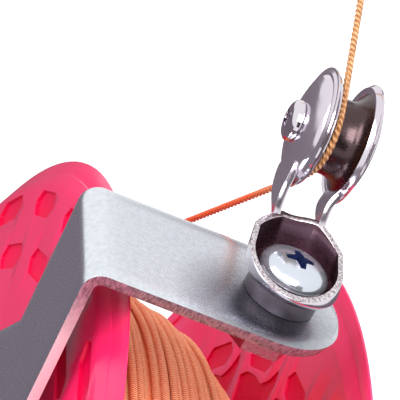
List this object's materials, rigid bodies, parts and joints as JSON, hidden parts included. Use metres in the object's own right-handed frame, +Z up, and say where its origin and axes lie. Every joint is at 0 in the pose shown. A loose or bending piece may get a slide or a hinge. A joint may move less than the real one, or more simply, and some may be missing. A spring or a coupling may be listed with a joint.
{
  "type": "kite line winder",
  "caption": "Hand-held kite line winder: a two-flange reel on an axle grip, with a bent strip bracket that carries a swivelling pulley over the wound line.",
  "frame": {"origin": "on the axle's axis, at the front end of the grip", "axes": "+X along the axle from the grip to the crank side, +Z up to the guide arm, +Y to the side the line comes off the reel"},
  "size_m": [0.2252, 0.2218, 0.273],
  "materials": {
    "zinc_strip": "satin zinc plate",
    "chrome_plate": "polished",
    "machine_steel": "turned",
    "bronze": "sintered bronze",
    "pink_plastic": "moulded, glossy",
    "black_plastic": "moulded, fine grain",
    "black_foam": "closed-cell foam",
    "orange_line": "twisted line"
  },
  "bodies": {
    "frame": {"guide_bracket": "zinc_strip", "locating_pins": "machine_steel", "handle_core": "black_plastic", "grip_sleeve": "black_foam", "handle_end_cap": "black_plastic", "axle_bolt": "machine_steel", "handle_washer": "machine_steel", "bracket_spacer": "machine_steel", "bearing_sleeve": "machine_steel", "front_washer": "machine_steel", "axle_nut": "machine_steel", "rear_bearing_inner_ring": "machine_steel", "front_bearing_inner_ring": "machine_steel", "swivel_spacer": "machine_steel", "swivel_screw": "chrome_plate", "swivel_washer": "machine_steel", "swivel_nut": "machine_steel", "line_lead": "orange_line"},
    "swivel": {"pulley_fork": "chrome_plate", "pulley_pin": "chrome_plate", "pulley_bush": "bronze", "pulley_pin_nut": "chrome_plate", "line_over_pulley": "orange_line", "line_end_knot": "orange_line", "line_end_loop": "orange_line"},
    "pulley": {"pulley_wheel": "chrome_plate"},
    "spool": {"drum": "pink_plastic", "rear_flange_wall": "pink_plastic", "front_flange_wall": "pink_plastic", "rear_flange_cover": "pink_plastic", "front_flange_cover": "pink_plastic", "rear_bearing_outer_ring": "machine_steel", "front_bearing_outer_ring": "machine_steel", "rear_bearing_balls": "machine_steel", "front_bearing_balls": "machine_steel", "drum_screws": "machine_steel", "front_hub_cap": "pink_plastic", "line_core": "orange_line", "line_winding": "orange_line", "knob_spindle": "machine_steel"},
    "crank_knob": {"knob_grip": "black_plastic", "knob_end_cap": "pink_plastic"}
  },
  "joints": [
    {"name": "spool_spin", "type": "hinge", "parent": "frame", "child": "spool", "pos_m": [0.034, 0, 0], "axis": [1, 0, 0], "continuous": true},
    {"name": "swivel_turn", "type": "hinge", "parent": "frame", "child": "swivel", "pos_m": [0.03605, 0, 0.12], "axis": [0, 0, 1], "range_deg": [-60, 60], "deforming": ["line_lead"]},
    {"name": "pulley_spin", "type": "hinge", "parent": "swivel", "child": "pulley", "pos_m": [0.03605, 0.0162, 0.1372], "axis": [1, 0, 0], "continuous": true},
    {"name": "knob_spin", "type": "hinge", "parent": "spool", "child": "crank_knob", "pos_m": [0.08, 0, -0.08], "axis": [1, 0, 0], "continuous": true}
  ],
  "couplings": [
    {"joint": "pulley_spin", "follows": "spool_spin", "ratio": -14.05}
  ]
}
